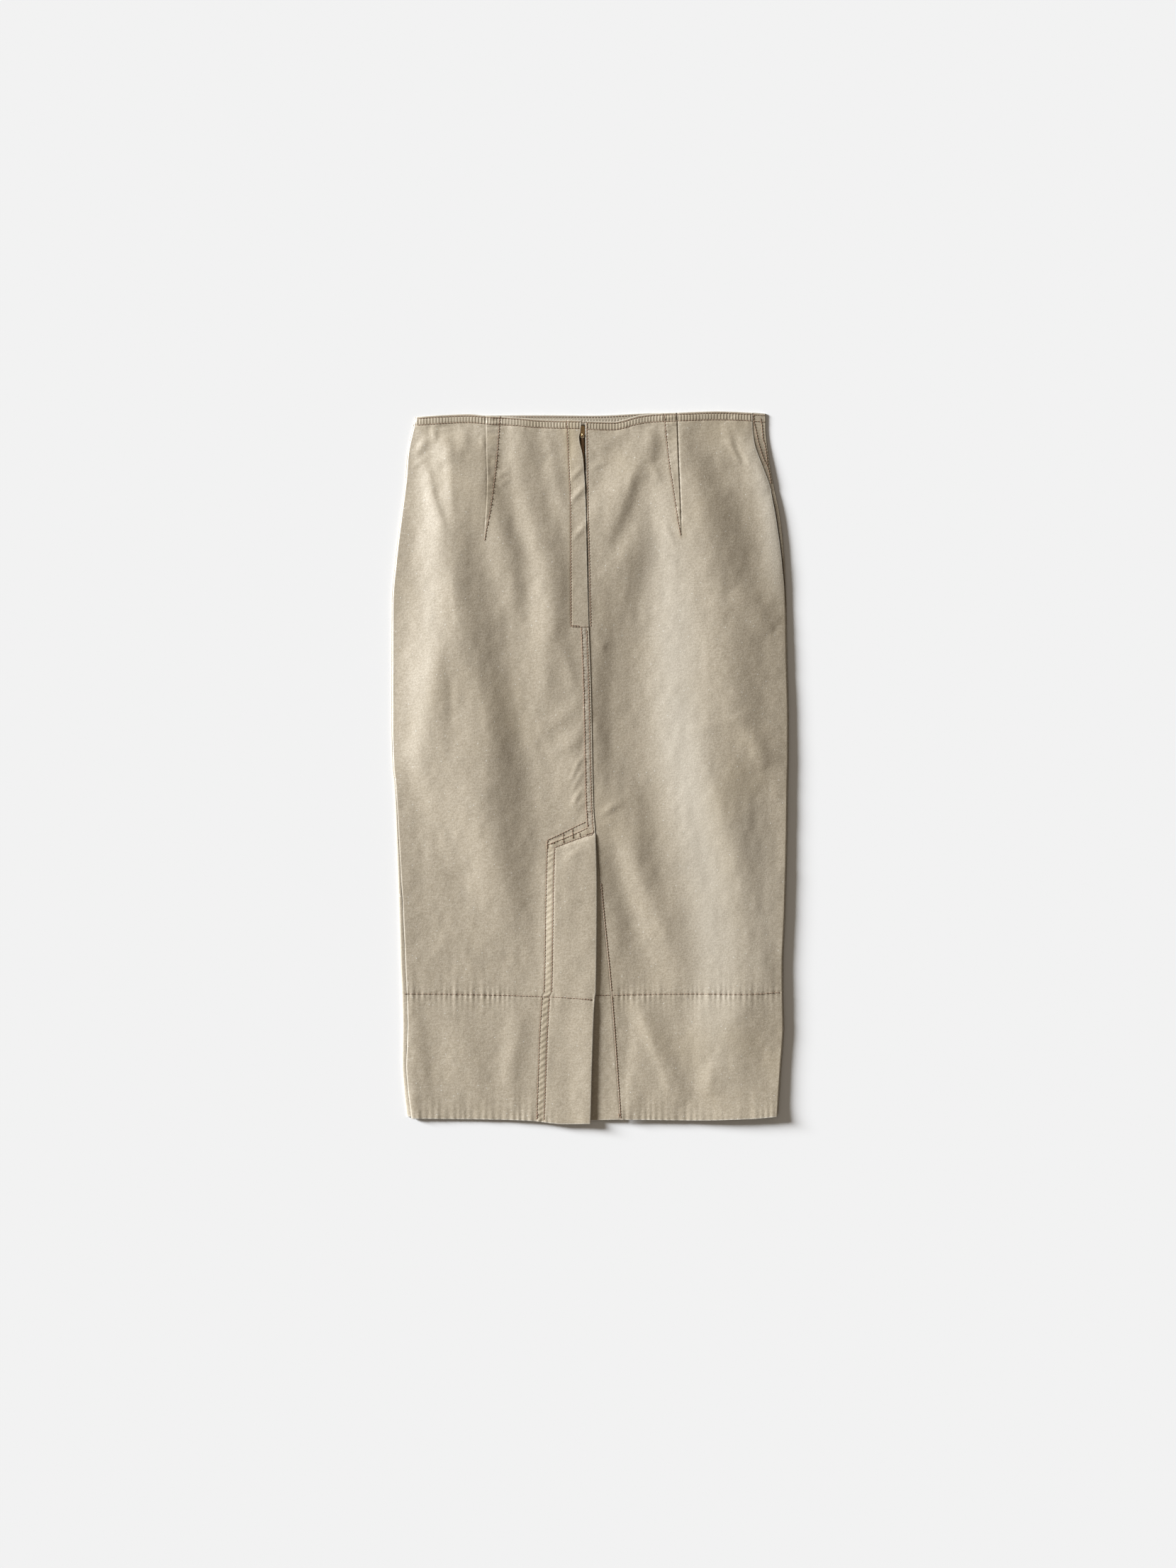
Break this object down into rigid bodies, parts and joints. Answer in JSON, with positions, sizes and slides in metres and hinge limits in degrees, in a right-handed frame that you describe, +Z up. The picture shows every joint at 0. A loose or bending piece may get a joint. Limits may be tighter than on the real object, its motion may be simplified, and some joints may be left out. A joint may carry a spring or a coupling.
{
  "type": "long fitted skirt",
  "caption": "Long fitted cotton skirt lying flat, back up: darted waist, lapped centre-back zip, back vent with underlay, and a wide stitched hem band.",
  "frame": {"origin": "on the surface the skirt lies on, under the middle of its box", "axes": "+Y towards the waist, +Z up out of the back of the skirt, +X to its right as seen from above"},
  "size_m": [0.4604, 0.8249, 0.0129],
  "materials": {
    "cloth": "washed cotton sateen with fine cross slubs and a soft sheen",
    "cloth_inside": "matt inner side of the same cotton",
    "zip_tape": "woven tape",
    "zip_metal": "worn gold-toned brass",
    "pull_metal": "worn copper-toned metal with a pale polished head"
  },
  "bodies": {
    "skirt": {"front_panel": "cloth", "front_hem_band": "cloth", "back_left_panel": "cloth", "back_left_hem_band": "cloth", "back_right_panel": "cloth", "back_right_hem_band": "cloth", "vent_underlay": "cloth", "vent_underlay_band": "cloth", "front_waist_facing": "cloth_inside", "zip_tape": "zip_tape", "zip_chain": "zip_metal", "zip_slider": "zip_metal"},
    "pull": {"zip_pull": "pull_metal"}
  },
  "joints": [
    {"name": "pull_hinge", "type": "hinge", "parent": "skirt", "child": "pull", "pos_m": [-0.00846, 0.3852, 0.0052], "axis": [-1, 0, 0], "range_deg": [0, 120]}
  ]
}
